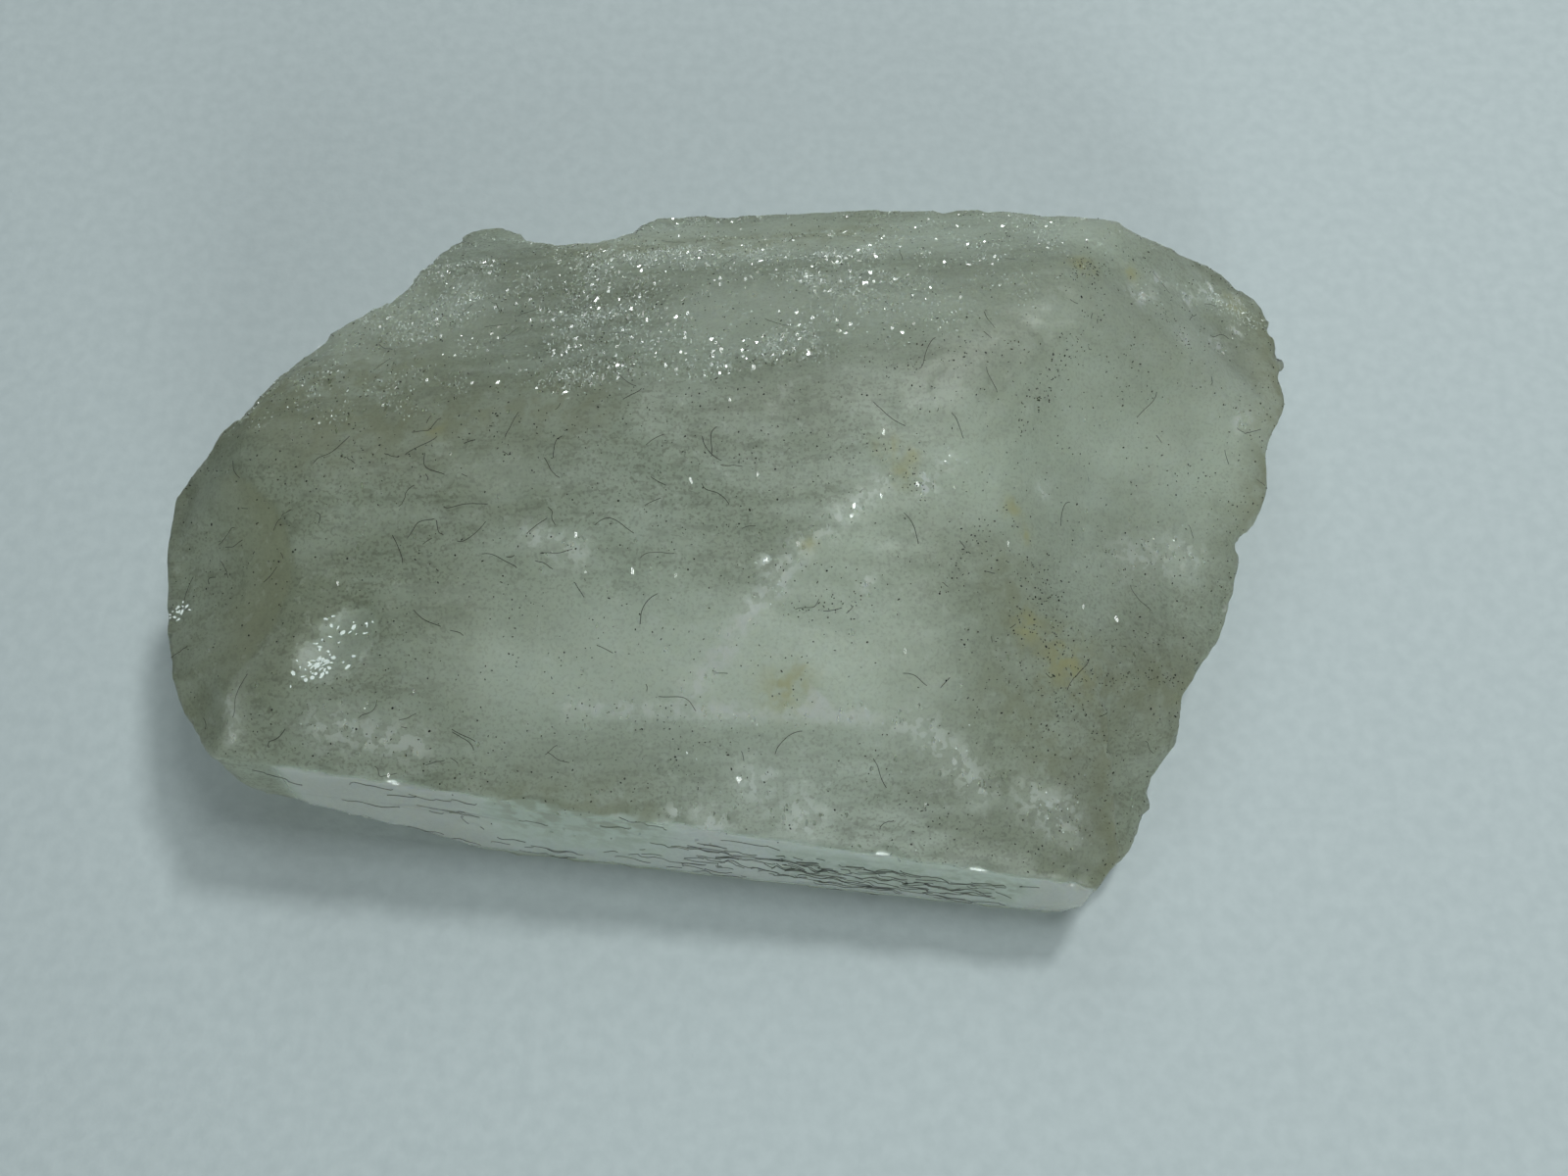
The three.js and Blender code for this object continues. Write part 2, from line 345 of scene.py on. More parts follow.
crystal = {
    "node": "quartz_crystal",
    "body": "root",
    "slot": "quartz",
    "quadSize": 0.46,                # of the even remesh; the etched and glassy faces get half of it
    "softening": 200,                # rounds of relaxing along the worn ridges
    "restHeight": (0.3, 1.6),        # the flat it rests on has no relief, which starts between these
    "upFacing": (0.1, 0.45),         # how far up a face looks before wear and dust come on
    "etchFacing": (0.16, -0.2, 0.967),    # the way the crystal's own etch facets face
    # the worn ridges between the top faces, with how wide they are rounded
    "wornRidges": [
        ([(-28, 1, 19.4), (8, 5, 20.9)], 3.6),
        ([(8, 5, 20.9), (20, 7.2, 21.1)], 6),
        ([(-24, -16.5, 15), (10, -16.5, 15)], 1.8),
        ([(10, -16.5, 15), (10, 6, 20.5)], 6.5),
        ([(10, -16.5, 15), (16, -22.5, 10.9)], 3),
        ([(-12.9, 18.9, 12.5), (26, 17, 15)], 2),
        ([(20, 7.2, 21), (31, 13.5, 15)], 6),
        ([(24, -19.6, 6), (27.6, -19.4, 5)], 1.6),
        ([(-40.2, -4.6, 13), (-37, -2, 15.8), (-33.6, -2, 18), (-31.6, -4.8, 17.6)], 3.4),
        ([(-31, -8.4, 16.8), (-31.4, -11.4, 16), (-33.4, -14, 15.2)], 1.6),
        ([(-38.6, -13.8, 11), (-36.6, -14.4, 13.4), (-34.8, -14.8, 15)], 2),
    ],
    "wornEnd": ((25, -3, 14), (12, 14, 9)),    # the middle of the right end, and how far it is worn
    # spots that keep their sharp rims: centre and reach
    "keptSpots": [((-27.3, -12.2, 15.6), 3.2), ((2.2, -8.2, 17), 3), ((20.8, -21.6, 9.6), 3)],
    # where the etch facets have grown most
    "etched": [([(-12.5, 19.8, 12), (-3, 19.2, 13), (8, 18.2, 14.3)], 1.5), ([(-12.4, 14.4, 15)], 4.6),
               ([(-12, 6.4, 18.8), (-7, 6.2, 19.2)], 2.6), ([(-3, 6, 19.6), (3, 7, 19.4)], 2.4),
               ([(4, 14.6, 16.3), (8, 14.8, 16.4)], 2.2), ([(-26.4, 13, 14), (-22.4, 16.6, 12.6)], 2.6)],
    # where a few more facets shine, at the right end and at the left
    "glints": [([(35, 18.4, 8.6), (38, 17.4, 7.4)], 0.6), ([(28, 15.3, 13.5)], 0.6)],
    "leftGlints": [([(-28.5, -14, 15.2), (-28, -13.7, 15.3)], 0.6), ([(-25.3, -11.4, 15.7)], 0.3),
                   ([(-39.3, -8.8, 12.6)], 0.5)],
    # relief: how deep it is, and the size of its bumps along x, y and z
    "undulation": (0.26, (13, 9, 9)),
    "wear": (0.08, (2.6, 2.2, 2.2)),
    "growthLines": (0.04, (18, 0.8, 0.8)),
    "etchFacets": (0.23, (0.5, 1.0, 1.0)),
    "etchWaves": (0.05, (1.4, 2.6, 2.6)),
    "etchPatches": (3, 2.4, 2.4),    # the size of the patches in which the etched face is rougher
    # the broken right end: ripples around the point where the break began
    "ribs": {"depth": 0.06, "start": (12, -14, 14), "spacing": 4.2, "waver": 3, "waverSize": (9, 9, 9)},
    # edges: how far one stands out to count in full, and how much is built up or chipped away
    "edgeRounds": 14,
    "edgeHeight": 0.12,
    "edgeBuild": 0.4,
    "chipDepth": 0.4,
    "chipSize": (2.3, 2.3, 2.3),
    "rimStep": 0.1,                  # how far the scar drops below its rim, and the pit half of that
    # seen from above: the rim of the scar at the left end, from the back to the front
    "scarRim": [(-37.6, -0.6), (-34.6, -0.9), (-33, -2.3), (-31.8, -3.4), (-30.9, -4.8), (-30.4, -7),
                (-30.5, -8.8), (-31.2, -10.8), (-32.4, -12.9), (-34.2, -14.6), (-34.3, -17), (-35.2, -19.2)],
    # where the scar is darkest, as painted shade on its wall, and where its lip catches the light, as a
    # painted highlight
    "scarShade": ([(-33.4, -1.2, 18), (-32.2, -4, 17.4), (-32, -8, 16.6), (-33, -11, 15.8)], 2.6),
    "scarLip": ([(-33.6, -14, 16), (-34, -17, 15)], 2.2),
    # seen from above: the oval pit, and faces with a crisp outline in the top
    "pit": {"centre": (-27.1, -12.6), "halfLength": 3.1, "halfWidth": 1.8, "turn": 43,
            "softRim": (0.8, 1.1), "crispRim": (0.86, 1.08)},
    # the bright triangular face is painted lighter: painted sheen
    "brightFace": [(-4.6, -16.8), (-0.7, -10.8), (3.1, -6.2), (10.4, -1), (12, -16.9)],
    "paleFace": [(2.9, -16.2), (3.6, -15), (5, -16.4), (3, -17)],
    "ridgeLine": [(-10, -16.9), (8, -16.5), (8, -17.2)],
}

# where the finish changes: each entry is a line or a single spot, with its width
finishes = {
    # grime: partly real dirt, partly painted shade darkening the creases and outlines where the surface turns
    # away
    "grimeAndShade": [
        ([(16.5, -8, 14.8), (19.7, -13, 12.3), (23.8, -13.6, 10.5), (29.1, -12.8, 8)], 2.6),
        ([(23.8, -15, 10.4), (23.6, -18.5, 9.9), (23.6, -25.1, 8)], 1.5),
        ([(16.4, -15.5, 13), (19.6, -18.4, 11)], 2.6), ([(-16, -22, 11.4), (-8, -22.6, 11)], 2),
        ([(-29, 1.5, 19.4), (-12, 3.4, 20)], 3.0),
        ([(-33, 5, 16), (-26, 7, 16)], 4),
        ([(36.6, 1, 7), (39, 9, 7), (39.4, 17, 6)], 2.0),
        ([(-14, 21, 10.5), (8, 22.5, 10.5)], 2.2),
        ([(2, -25.5, 7), (17, -27, 6.5)], 1.1),
    ],
    "rust": [
        ([(8.6, 0.1, 19.3)], 0.8), ([(10.2, -0.4, 19)], 0.55), ([(2.0, -15.2, 15.1)], 1.5),
        ([(2.9, -14.3, 15.4)], 0.6), ([(17.2, -2.9, 16)], 0.7), ([(18, -4.4, 15.2)], 0.6),
        ([(20.8, -12.4, 12.2)], 1.8), ([(18, -10.6, 13.6)], 1.0), ([(-21.5, 1.7, 19.7)], 0.6),
        ([(23.3, 16.2, 16.6)], 1.0), ([(27.4, 17.4, 13.6)], 0.8), ([(36.8, 18.6, 7.4)], 0.9),
        ([(3.4, -6.2, 17.8)], 0.5), ([(9.6, -1.6, 18.8)], 0.8),
    ],
    "milk": [
        ([(-12, -16.4, 15.1), (6, -16.9, 14.8), (11, -17.8, 14)], 0.6),
        ([(-6, -16.6, 15), (10.6, -17.2, 14.4)], 0.45),
        ([(-4.4, -16, 15), (1.2, -8.2, 16.9), (8.4, -2, 19)], 0.8),
        ([(0.2, -9.6, 16.8), (1.7, -8.4, 17), (2.8, -6.4, 17.6)], 1.0),
        ([(-14.5, -5.6, 17.7), (-11.6, -6.8, 17.5)], 1.0),
        ([(10.4, -17.2, 14.4), (13.4, -19.6, 13), (14.6, -21, 12)], 1.3),
        ([(18.4, -21.4, 10.6), (20.2, -22.6, 9.6)], 1.7),
        ([(-34.2, -16.2, 15), (-33.8, -18.2, 14)], 0.7), ([(-28, -17.6, 14.4), (-22, -18.6, 13.8)], 1.3),
        ([(0, -20.6, 12.3)], 1.6), ([(3, -22.6, 11)], 1.8), ([(-3, -23, 10.6)], 1.5),
        ([(26, -4, 12), (31, -3, 9)], 1.6),
    ],
    # star-shaped bruises, each about a millimetre across
    "bruise": [
        ([(28, 15.3, 13.5)], 1.1), ([(34.6, 19.1, 8.2)], 1.1), ([(34.6, 13.9, 8.7)], 0.8),
        ([(35.6, 7.1, 9.6)], 0.8), ([(30.9, 12.5, 12.8)], 0.6), ([(36.6, 15.9, 7.4)], 0.6),
        ([(32.4, 17.4, 10.6)], 0.9), ([(29.8, 17.6, 12)], 0.7), ([(11.2, -2.2, 18.4)], 0.8),
        ([(37.2, 18.9, 7.3)], 0.6), ([(12.6, -0.6, 18.6)], 0.6), ([(19.6, -1, 15.6)], 0.5),
        ([(1.4, -9, 16.9)], 0.7), ([(0.6, -7.3, 17.3)], 0.5), ([(7.2, -8.6, 17)], 0.5),
        ([(12.8, -19.4, 13)], 0.6), ([(19.6, -21.8, 10.2)], 0.9), ([(-5.4, -22.4, 11.2)], 0.5),
    ],
    # wide areas that are a little paler than the rest
    "haze": [
        ([(-16, -13.6, 15.8), (10, -14, 15.6)], 5), ([(21, 3, 15), (31, 8, 11)], 10),
        ([(-2, 12, 17), (26, 12, 17)], 5), ([(-28, 12, 14.5), (-22, 13, 14.5)], 5),
        ([(-10, 22, 10), (24, 21, 11)], 4), ([(16, -1, 17.4), (22, 0, 15)], 5),
    ],
}
# where the glassy side is cracked
crackLines = [
    ([(1, -25.6, 4.6), (14, -27, 4)], 2.4), ([(-9, -25, 3.6), (3, -25.6, 3.2)], 1.4),
    ([(-27, -22.4, 9.4), (-20, -23, 8)], 1.2), ([(-14, -24, 7), (-4, -24.6, 6.4)], 0.7),
]
# where grains have gathered, besides the grime
grainLines = [
    ([(-6, 3.2, 20.4), (3, 5, 20.6)], 0.3), ([(8, 5.2, 20.4), (19.4, 8.6, 19.8)], 0.35),
    ([(22, 14.6, 17.2), (24.6, 17.4, 16)], 0.9), ([(20.4, -14.6, 11.8), (23.6, -18.4, 10)], 0.3),
    ([(29.6, 14.2, 13.3), (31.4, 12.2, 12.9)], 0.6), ([(9.8, -1, 19), (11, -2.6, 18.6)], 0.7),
    ([(18, 3, 17.8), (22, 9, 17.6)], 0.8), ([(19.4, -7, 13.8), (19.6, -11, 12.4)], 1.2),
    ([(21.9, -13.2, 11.5), (29, -12, 8)], 0.6), ([(2.4, -10.4, 16.4), (7, -9.4, 16.8)], 0.6),
    ([(-7.6, -17.4, 14.6), (-4.6, -16.6, 15)], 0.4), ([(15.4, -12.4, 13.6), (20.8, -15.8, 11.4)], 0.35),
    ([(12.4, -8.6, 16), (15, -4, 16.6)], 0.5),
]


def plainCopy(source, name):
    # an own copy of a CAD node's mesh with its doubles merged
    mesh = source.data.copy()
    mesh.name = name
    mesh.materials.clear()
    work = bmesh.new()
    work.from_mesh(mesh)
    bmesh.ops.remove_doubles(work, verts=work.verts, dist=1e-6)
    work.to_mesh(mesh)
    work.free()
    piece = bpy.data.objects.new(name, mesh)
    scene.collection.objects.link(piece)
    return piece


def applied(piece):
    # the piece with its modifiers made real and taken off
    ready = bpy.data.meshes.new_from_object(piece.evaluated_get(bpy.context.evaluated_depsgraph_get()))
    piece.modifiers.clear()
    piece.data = ready
    return piece


def remeshEvenly(piece, quadSize):
    grid = piece.modifiers.new("even quads", "REMESH")
    grid.mode = "VOXEL"
    grid.voxel_size = quadSize * mm
    return applied(piece)


def halveQuads(mesh, chosen):
    # faces whose corners are all chosen get four quads for one
    work = bmesh.new()
    work.from_mesh(mesh)
    work.verts.ensure_lookup_table()
    edges = [e for e in work.edges if chosen[e.verts[0].index] and chosen[e.verts[1].index]]
    bmesh.ops.subdivide_edges(work, edges=edges, cuts=1, use_grid_fill=True)
    work.to_mesh(mesh)
    work.free()


def faceShares(normals):
    # how much each point belongs to the etched face behind the ridge, and to the glassy side
    etched = smoothStep(normals[:, 1], 0.15, 0.3) * smoothStep(normals[:, 2], 0.45, 0.6)
    glassy = smoothStep(-normals[:, 1], 0.85, 0.93)
    return etched, glassy


def roundRidges(mesh):
    # the worn ridges and the worn right end are rounded, the rest keeps its edges
    points, edges = readPoints(mesh), readEdges(mesh)
    soft = nearSpot(points, *crystal["wornEnd"])
    for line, width in crystal["wornRidges"]:
        soft = np.maximum(soft, nearLine(points, line, width))
    for centre, reach in crystal["keptSpots"]:
        soft *= 1 - nearSpot(points, centre, reach)
    soft *= smoothStep(points[:, 2], 2, 4) * smoothStep(readNormals(mesh)[:, 2], *crystal["upFacing"])
    points = relax(points, edges, crystal["softening"], soft, 0.0)
    points = relax(points, edges, 2, np.ones(len(points)))
    writePoints(mesh, points)


def refineFaces(mesh):
    # the etched and glassy faces carry the finest relief, so their quads are halved
    etched, glassy = faceShares(readNormals(mesh))
    halveQuads(mesh, (etched > 0.3) | (glassy > 0.3))


def surveyPoints(mesh):
    # what the relief and the finish have to know of each point
    points, edges, normals = readPoints(mesh), readEdges(mesh), readNormals(mesh)
    x, y, z = points.T
    etched, glassy = faceShares(normals)
    glassy *= smoothStep(z, 0.5, 1.5)
    glassy *= smoothStep(x, -32.4, -30.6)
    # the etched face is rougher where its facets have grown most, and in patches
    growth = 0.4 + 0.6 * stretchMask(points, crystal["etched"])
    growth *= 0.5 + 0.5 * smoothStep(wobble(points, crystal["etchPatches"], 8, 2), -0.25, 0.25)
    # convex edges, found as what a little relaxing would take off
    relaxed = relax(points, edges, crystal["edgeRounds"], np.ones(len(points)))
    edge = np.clip(((points - relaxed) * normals).sum(1) / crystal["edgeHeight"], 0, 1)
    intoScar = pastLine(points[:, :2], crystal["scarRim"]) * smoothStep(z, 8, 10)
    pit = insideOval(points[:, :2], crystal["pit"]) * smoothStep(z, 10, 12)
    return SimpleNamespace(
        points=points, normals=normals, up=normals[:, 2], x=x, y=y, z=z, etched=etched, glassy=glassy,
        growth=growth, edge=edge, intoScar=intoScar, scar=smoothStep(intoScar, -0.1, 0.25), pit=pit,
        lifted=smoothStep(z, *crystal["restHeight"]))


def reliefHeight(at):
    # how far each point rises along its normal; every wobble has a seed of its own
    points = at.points
    depth, size = crystal["undulation"]
    rise = depth * wobble(points, size, 1, 2) * (1 - at.glassy)
    depth, size = crystal["wear"]
    rise += depth * wobble(points, size, 2, 3) * (1 - at.glassy)
    depth, size = crystal["growthLines"]
    lined = smoothStep(-at.x, -4, 6) * smoothStep(-at.y, 4, 10) * (1 - at.etched) * (1 - at.glassy)
    rise += depth * wobble(points, size, 3) * lined
    depth, size = crystal["etchFacets"]
    rise += at.etched * at.growth * depth * facetHeight(points, size, 4)
    depth, size = crystal["etchWaves"]
    rise += at.etched * at.growth * depth * wobble(points, size, 5)

    # the scar and the oval pit drop below crisp rims
    rise -= crystal["rimStep"] * at.scar * (1 - smoothStep(at.intoScar, 1, 3.5))
    rise -= 0.5 * crystal["rimStep"] * at.pit

    ribs = crystal["ribs"]
    fromStart = np.linalg.norm(points - np.array(ribs["start"]), axis=1)
    waver = ribs["waver"] * wobble(points, ribs["waverSize"], 6)
    ripples = np.sin(fromStart * 2 * math.pi / ribs["spacing"] + waver)
    rise += ribs["depth"] * ripples * smoothStep(at.x, 22, 32) * smoothStep(at.up, 0.5, 0.8)

    # the even remesh trims the sharp edges of the left end, so they are built up again
    steep = smoothStep(1 - at.up, 0.15, 0.4)
    rise += crystal["edgeBuild"] * smoothStep(at.edge, 0.55, 1) * smoothStep(-at.x, 34, 38) * steep
    # chips eat into the edges, and fade out at the left end
    chipped = smoothStep(wobble(points, crystal["chipSize"], 7, 2), 0.05, 0.5)
    rise -= crystal["chipDepth"] * at.edge * chipped * smoothStep(at.x, -42, -28)
    return rise * at.lifted


def storeFinish(mesh, at, marks):
    # the masks that the quartz's finish reads
    storeMask(mesh, "etched", at.etched * at.growth)
    storeMask(mesh, "glassy", at.glassy)
    # the scar's tone is strongest along its shaded wall: painted shade
    shaded = nearLine(at.points, *crystal["scarShade"])
    storeMask(mesh, "scar", at.scar * (0.2 + 0.8 * shaded) * at.upper)
    # the lip is painted pale: a painted highlight
    lipHighlight = smoothStep(-at.intoScar, -0.1, 0.1) * (1 - smoothStep(-at.intoScar, 0.3, 2.2))
    storeMask(mesh, "lipHighlight", lipHighlight * nearLine(at.points, *crystal["scarLip"]))
    for name, values in marks.items():
        storeMask(mesh, name, values)
    storeMask(mesh, "veils", smoothStep(wobble(at.points, (7.4, 1.6, 1.4), 15, 3), -0.1, 0.5))


def storeSpreads(mesh, at, marks):
    # the masks that say how densely each kind of grain, fibre, facet and crack is strewn
    points, x, y = at.points, at.x, at.y
    settled = smoothStep(wobble(points, (5, 3.4, 3.4), 11, 3), -0.1, 0.45)
    gathered = stretchMask(points, grainLines)
    storeMask(mesh, "grit", at.upper * np.clip(
        0.04 + 0.16 * settled + 0.15 * marks["grimeAndShade"] + 0.3 * marks["rust"] + 0.8 * gathered, 0, 1))
    leftBack = 0.8 * smoothStep(-x, -6, 18) * smoothStep(y, -12, -4)
    storeMask(mesh, "lint", at.upper * (1 - 0.7 * at.etched) * (0.2 + leftBack))
    crowded = 0.4 + 0.6 * smoothStep(wobble(points, (2.4, 1.8, 1.8), 13, 3), -0.12, 0.3)
    # dense on the etched face, and sparse in the bruises, in the milk and along the front edge
    glitter = np.maximum.reduce([
        at.etched * smoothStep(at.growth, 0.15, 0.9) * crowded, stretchMask(points, crystal["glints"]),
        0.2 * marks["bruise"], 0.006 * marks["milk"],
        0.003 * smoothStep(-y, 14, 18) * smoothStep(x, -30, -10)])
    storeMask(mesh, "glitter", at.upper * glitter)
    storeMask(mesh, "leftGlitter", at.upper * np.maximum(
        stretchMask(points, crystal["leftGlints"]), 0.06 * at.pit * smoothStep(-x, 25, 26.6)))
    cracked = stretchMask(points, crackLines, 1.0)
    storeMask(mesh, "crackShare", at.glassy * np.maximum(cracked, 0.05))


def shapeCrystal(piece):
    mesh = piece.data
    roundRidges(mesh)
    refineFaces(mesh)
    at = surveyPoints(mesh)
    print("crystal:", len(at.points), "points before relief")
    writePoints(mesh, at.points + reliefHeight(at)[:, None] * at.normals)
    at.upper = smoothStep(at.up, *crystal["upFacing"]) * at.lifted
    marks = {name: stretchMask(at.points, places) for name, places in finishes.items()}
    storeFinish(mesh, at, marks)
    storeSpreads(mesh, at, marks)
    for polygon in mesh.polygons:
        polygon.use_smooth = True


quartzFinish = {
    "smoky": (0.41, 0.44, 0.335, 1),
    "body": (0.53, 0.58, 0.48, 1),
    "haze": (0.86, 0.92, 0.82, 1),
    "veil": (0.8, 0.86, 0.78, 1),
    "scuff": (0.25, 0.26, 0.195, 1),
    # painted sheen on the bright triangular face
    "sheenTone": (0.87, 0.93, 0.82, 1),
    # painted reflection: the glassy side's pale colour stands for the bright floor it reflects
    "glassyReflection": (0.9, 1, 0.92, 1),
    # brown of the scar, darkest along its wall as painted shade
    "scar": (0.47, 0.475, 0.33, 1),
    # painted highlight on the scar's lip
    "lipHighlight": (0.85, 0.87, 0.8, 1),
    "pale": (0.88, 0.94, 0.85, 1),
    # dark olive of the grime, also used as painted shade along creases and outlines
    "grimeAndShade": (0.33, 0.33, 0.2, 1),
    "rust": (0.6, 0.55, 0.25, 1),
    "milk": (0.96, 0.99, 0.94, 1),
    # patterns of noise that the colour reads
    "patterns": {
        "clouds": {"Stretch": (0.7, 1, 1), "Scale": 110.0, "Detail": 2.0, "Low": 0.3, "High": 0.66},
        "torn": {"Scale": 870.0, "Detail": 2.0, "Low": 0.34, "High": 0.64},
        "crisp": {"Scale": 1500.0, "Detail": 2.0, "Low": 0.49, "High": 0.55},
        "scuffs": {"Stretch": (0.4, 1, 1), "Scale": 2200.0, "Detail": 2.0, "Low": 0.5, "High": 0.66},
        "specks": {"Scale": 4800.0, "Detail": 1.0, "Low": 0.52, "High": 0.66},
    },
    # how much of each mark's tone goes over what lies below it
    "shares": {"scuffs": 0.5, "specks": 0.7, "upperSpecks": 0.16, "veils": 0.3, "scar": 0.8, "lipHighlight": 0.28,
               "pit": 0.5, "grimeAndShade": 0.62, "rust": 0.8},
    "hazeShares": (0.5, 0.85),       # between the clouds and in them
    # crisp faces in the top: the outline, its tone and its share, which fades to the right
    # the first face's lighter tone is painted sheen
    "faces": [("brightFace", "sheenTone", 0.42), ("paleFace", "milk", 0.9), ("ridgeLine", "milk", 0.6)],
    "faceFade": (5, 12, 0.1),        # from where to where it fades, and the share that is left
    "topHeight": (10, 12),           # the faces and the pit show only above this
    "outlineFade": 0.12,
    "outlineWobble": 2.0,            # how far the crisp outlines waver
    "grainScale": 1900.0,
    "grainStrength": 0.3,
    "glassyGrain": 0.15,             # the share of the grain that the glassy side has
    "facetPattern": {"Stretch": (1.5, 0.85, 0.85), "Scale": 3600.0, "Jitter": 0.3},
    "facetTilts": (0.05, 0.75),      # on a worn face and on the etched one
    "facetShares": (0.12, 0.002, 0.05),   # parallel facets: where it is etched, elsewhere, and in the milk
    "roughness": 0.5,
    "glassyRoughness": 0.08,
    "facetRoughness": 0.13,
    "grimeRoughness": 0.2,           # added by the grime
    "transmission": 0.72,
    "ior": 1.544,
    "scatterDepth": 0.0025,
    "scatterRadius": (1, 0.95, 0.8),
    "absorbColour": (0.8, 0.84, 0.72, 1),
    "absorbDensity": 32,
}


def quartzColour(tree, look, place, masks):
    clouds, torn, crisp, scuffs, specks = (
        useGroup(tree, mottle, Vector=place, **look["patterns"][name])
        for name in ("clouds", "torn", "crisp", "scuffs", "specks"))
    shares = look["shares"]
    across = addNode(tree, "ShaderNodeSeparateXYZ")
    wire(tree, across.inputs["Vector"], place)

    def lay(colour, mask, tone):
        return mixColour(tree, mask, colour, look[tone])

    # smoky patches with fine dark scuffs along the prism and specks, fainter where it is pale
    colour = mixColour(tree, clouds["Mask"], look["smoky"], look["body"])
    colour = lay(colour, times(tree, scuffs["Mask"], shares["scuffs"]), "scuff")
    colour = lay(colour, times(tree, specks["Mask"], shares["specks"]), "scuff")
    # haze, long pale veils, and the left end's scar with its painted shade and the painted highlight on its
    # lip
    haze = times(tree, masks["haze"], rangeNode(tree, clouds["Mask"], 0, 1, *look["hazeShares"]))
    colour = lay(colour, haze, "haze")
    for name, tone in (("veils", "veil"), ("scar", "scar"), ("lipHighlight", "lipHighlight")):
        colour = lay(colour, times(tree, masks[name], shares[name]), tone)

    # crisp faces and the pit, whose outlines waver a little
    waver = vectorNode(tree, "SCALE", (1, -0.8, 0), mathNode(tree, "SUBTRACT", crisp["Noise"], 0.5))
    wobbly = vectorNode(tree, "ADD", place, vectorNode(tree, "SCALE", waver, look["outlineWobble"] * mm))
    low, high = look["topHeight"]
    top = rangeNode(tree, across.outputs["Z"], low * mm, high * mm)
    left, right, leftOver = look["faceFade"]
    for name, tone, share in look["faces"]:
        inside = outlineNode(tree, wobbly, crystal[name], look["outlineFade"])
        faded = rangeNode(tree, across.outputs["X"], left * mm, right * mm, share, leftOver)
        colour = lay(colour, times(tree, times(tree, inside, faded), top), tone)
    inside = times(tree, ovalNode(tree, wobbly, crystal["pit"]), times(tree, top, shares["pit"]))
    colour = lay(colour, inside, "pale")
    colour = lay(colour, times(tree, specks["Mask"], shares["upperSpecks"]), "scuff")
    # the glassy side is painted pale: painted reflection of the bright floor
    colour = lay(colour, masks["glassy"], "glassyReflection")

    # milk in broken patches and specks, star-shaped bruises, then grime with painted shade, and rust
    cloudy = times(tree, masks["milk"], rangeNode(tree, crisp["Mask"], 0, 1, 0.3, 0.85))
    star = times(tree, masks["bruise"], rangeNode(tree, crisp["Mask"], 0, 1, 0.2, 1.4))
    speckled = times(tree, rangeNode(tree, crisp["Noise"], 0.62, 0.68),
                     rangeNode(tree, masks["milk"], 0, 0.8, 0.2, 0.8))
    white = mathNode(tree, "MAXIMUM", mathNode(tree, "MAXIMUM", cloudy, speckled), star)
    colour = lay(colour, white, "milk")
    # the grime lines darken creases and outlines as painted shade, as well as marking real dirt
    for name in ("grimeAndShade", "rust"):
        spread = times(tree, masks[name], rangeNode(tree, torn["Mask"], 0, 1, 0.2, shares[name]))
        colour = lay(colour, spread, name)
    return colour


def quartzFacets(tree, look, place, masks):
    # fine grain everywhere, and flat facets on the etched face and a few in the milk and bruises
    grain = addNode(tree, "ShaderNodeTexNoise")
    wire(tree, grain.inputs["Vector"], place)
    wire(tree, grain.inputs["Scale"], look["grainScale"])
    wire(tree, grain.inputs["Detail"], 1.0)
    fainter = rangeNode(tree, masks["glassy"], 0, 1, 1.0, look["glassyGrain"])
    relief = times(tree, grain.outputs["Fac"], fainter)
    onEtched, elsewhere, inMilk = look["facetShares"]
    white = mathNode(tree, "MAXIMUM", masks["milk"], masks["bruise"])
    share = mathNode(tree, "ADD", rangeNode(tree, masks["etched"], 0.1, 0.9, 0.0, onEtched),
                     rangeNode(tree, white, 0, 1, elsewhere, inMilk))
    return useGroup(tree, facets, Vector=place, Normal=bumpNode(tree, relief, look["grainStrength"]),
                    Tilt=rangeNode(tree, masks["etched"], 0, 1, *look["facetTilts"]),
                    Facing=crystal["etchFacing"], Share=share, **look["facetPattern"])


def makeQuartz():
    look = quartzFinish
    material, tree, shader, output = newMaterial("milkyQuartz")
    place = objectPlace(tree)
    masks = {name: maskNode(tree, name) for name in ("etched", "glassy", "veils", "scar", "lipHighlight", *finishes)}
    wire(tree, shader["Base Color"], quartzColour(tree, look, place, masks))
    faceted = quartzFacets(tree, look, place, masks)
    wire(tree, shader["Normal"], faceted["Normal"])
    rough = rangeNode(tree, masks["glassy"], 0, 1, look["roughness"], look["glassyRoughness"])
    rough = mathNode(tree, "ADD", rough, times(tree, masks["grimeAndShade"], look["grimeRoughness"]))
    rough = mixNode(tree, "FLOAT", faceted["Parallel"], rough, look["facetRoughness"])
    wire(tree, shader["Roughness"], rough)
    shader["Transmission Weight"].default_value = look["transmission"]
    shader["IOR"].default_value = look["ior"]
    shader["Subsurface Weight"].default_value = 1.0
    shader["Subsurface Radius"].default_value = look["scatterRadius"]
    shader["Subsurface Scale"].default_value = look["scatterDepth"]
    smoky = addNode(tree, "ShaderNodeVolumeAbsorption")
    smoky.inputs["Color"].default_value = look["absorbColour"]
    smoky.inputs["Density"].default_value = look["absorbDensity"]
    tree.links.new(smoky.outputs["Volume"], output.inputs["Volume"])
    return material


def makeCrystal():
    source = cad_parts[crystal["node"]]
    piece = plainCopy(source, "milkyCrystal")
    remeshEvenly(piece, crystal["quadSize"])
    shapeCrystal(piece)
    piece.data.materials.append(makeQuartz())
    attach(piece, crystal["body"])
    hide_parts(crystal["node"])
    print("crystal:", sum(len(p.vertices) - 2 for p in piece.data.polygons), "triangles")
    return piece


